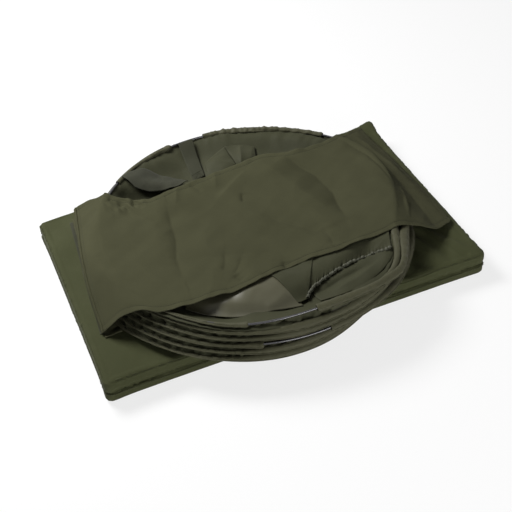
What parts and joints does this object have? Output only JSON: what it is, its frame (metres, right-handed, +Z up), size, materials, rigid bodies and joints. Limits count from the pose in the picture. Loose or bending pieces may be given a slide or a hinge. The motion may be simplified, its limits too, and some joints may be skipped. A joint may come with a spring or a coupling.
{
  "type": "folding fishing unhooking mat",
  "caption": "Padded fish unhooking mat folded in half, its coiled pop-up wall on top under a wide retaining flap.",
  "frame": {"origin": "middle of the folded mat's ground face", "axes": "+Z up, +X along the mat's long side towards the flap's free end, +Y from the open long edge to the fold"},
  "size_m": [0.706, 0.5719, 0.1164],
  "materials": {
    "mat_cloth": "matt olive coated nylon",
    "ground_cloth": "dark coated nylon",
    "flap_cloth": "satin olive nylon",
    "wall_cloth": "satin olive nylon",
    "sleeve_cloth": "olive nylon, puckered",
    "coated_liner": "glossy coated liner",
    "webbing": "woven webbing",
    "loop_pile": "grey-green loop pile",
    "hook_tape": "hook tape",
    "elastic": "covered elastic",
    "foam": "closed-cell foam",
    "spring_steel": "black coated spring steel",
    "crimp_steel": "plain steel ferrule"
  },
  "bodies": {
    "upper_half": {"upper_inner_panel": "mat_cloth", "upper_top_panel": "mat_cloth", "upper_gusset": "mat_cloth", "upper_foam": "foam", "fold_piping": "mat_cloth", "flap_flange": "flap_cloth", "flap_seam_tape": "webbing", "loop_tape": "loop_pile"},
    "lower_half": {"lower_ground_panel": "ground_cloth", "lower_inner_panel": "mat_cloth", "lower_gusset": "mat_cloth", "lower_foam": "foam"},
    "hoop_pack": {"lower_hoop_rod": "spring_steel", "upper_hoop_rod": "spring_steel", "lower_hoop_ferrule": "crimp_steel", "upper_hoop_ferrule": "crimp_steel", "lower_hoop_sleeve_1": "sleeve_cloth", "lower_hoop_sleeve_2": "sleeve_cloth", "upper_hoop_sleeve_1": "sleeve_cloth", "upper_hoop_sleeve_2": "sleeve_cloth", "upper_hoop_sleeve_3": "sleeve_cloth", "upper_hoop_sleeve_4": "sleeve_cloth", "upper_hoop_sleeve_5": "sleeve_cloth", "wall_cloth": "wall_cloth", "wall_skirt": "wall_cloth", "wall_corner": "wall_cloth", "liner_panel": "coated_liner", "elastic_cover": "wall_cloth", "elastic_cord": "elastic", "webbing_strap": "webbing", "loop_patch": "loop_pile", "folded_tab": "wall_cloth"},
    "flap": {"retaining_flap": "flap_cloth", "hook_tape": "hook_tape"}
  },
  "joints": [
    {"name": "mat_fold", "type": "hinge", "parent": "upper_half", "child": "lower_half", "pos_m": [0, 0.2219, 0.0234], "axis": [1, 0, 0], "range_deg": [0, 180]},
    {"name": "pack_lift", "type": "hinge", "parent": "upper_half", "child": "hoop_pack", "pos_m": [-0.325, 0, 0.04964], "axis": [0, -1, 0], "range_deg": [0, 30]},
    {"name": "flap_open", "type": "hinge", "parent": "hoop_pack", "child": "flap", "pos_m": [-0.325, 0, 0.04964], "axis": [0, -1, 0], "range_deg": [0, 90]}
  ]
}
